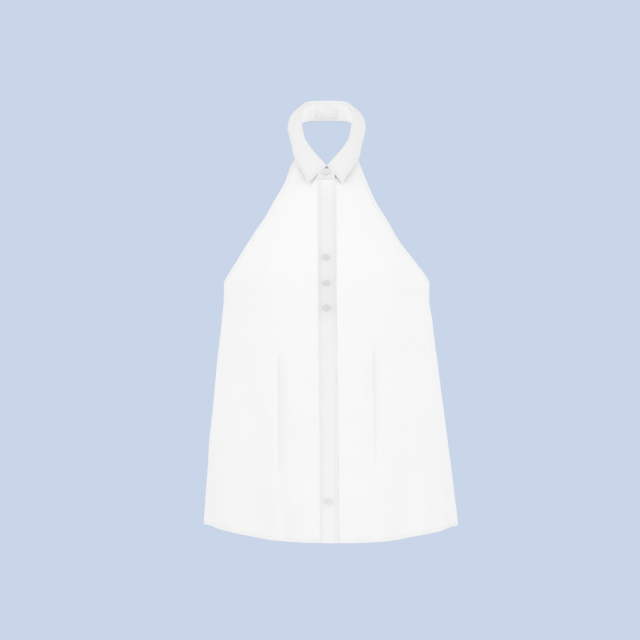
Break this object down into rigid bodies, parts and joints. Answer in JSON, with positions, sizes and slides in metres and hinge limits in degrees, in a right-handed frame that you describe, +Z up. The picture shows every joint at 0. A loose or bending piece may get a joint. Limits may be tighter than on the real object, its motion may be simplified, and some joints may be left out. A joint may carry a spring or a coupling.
{
  "type": "button-up shirt, sleeveless with a halter neck",
  "caption": "White sleeveless halter-neck shirt that buttons down the front, with a folded collar, a front band and a flared hem.",
  "frame": {"origin": "centre of the neck opening, level with the foot of the collar stand at the nape, where the wearer's neck holds the shirt up", "axes": "+Z up, the front faces -Y, +X towards the viewer's right, which is the wearer's left"},
  "size_m": [0.4323, 0.3162, 0.7437],
  "materials": {
    "poplin": "matt",
    "collar_poplin": "matt",
    "label_weave": "satin",
    "button_resin": "gloss"
  },
  "bodies": {
    "root": {"front_right": "poplin", "front_left": "poplin", "back": "poplin", "placket_top": "poplin", "placket_under": "poplin", "collar_stand": "collar_poplin", "collar_leaf": "collar_poplin", "neck_label": "label_weave", "button_stand": "button_resin", "button_1": "button_resin", "button_2": "button_resin", "button_3": "button_resin", "button_4": "button_resin"}
  },
  "joints": []
}
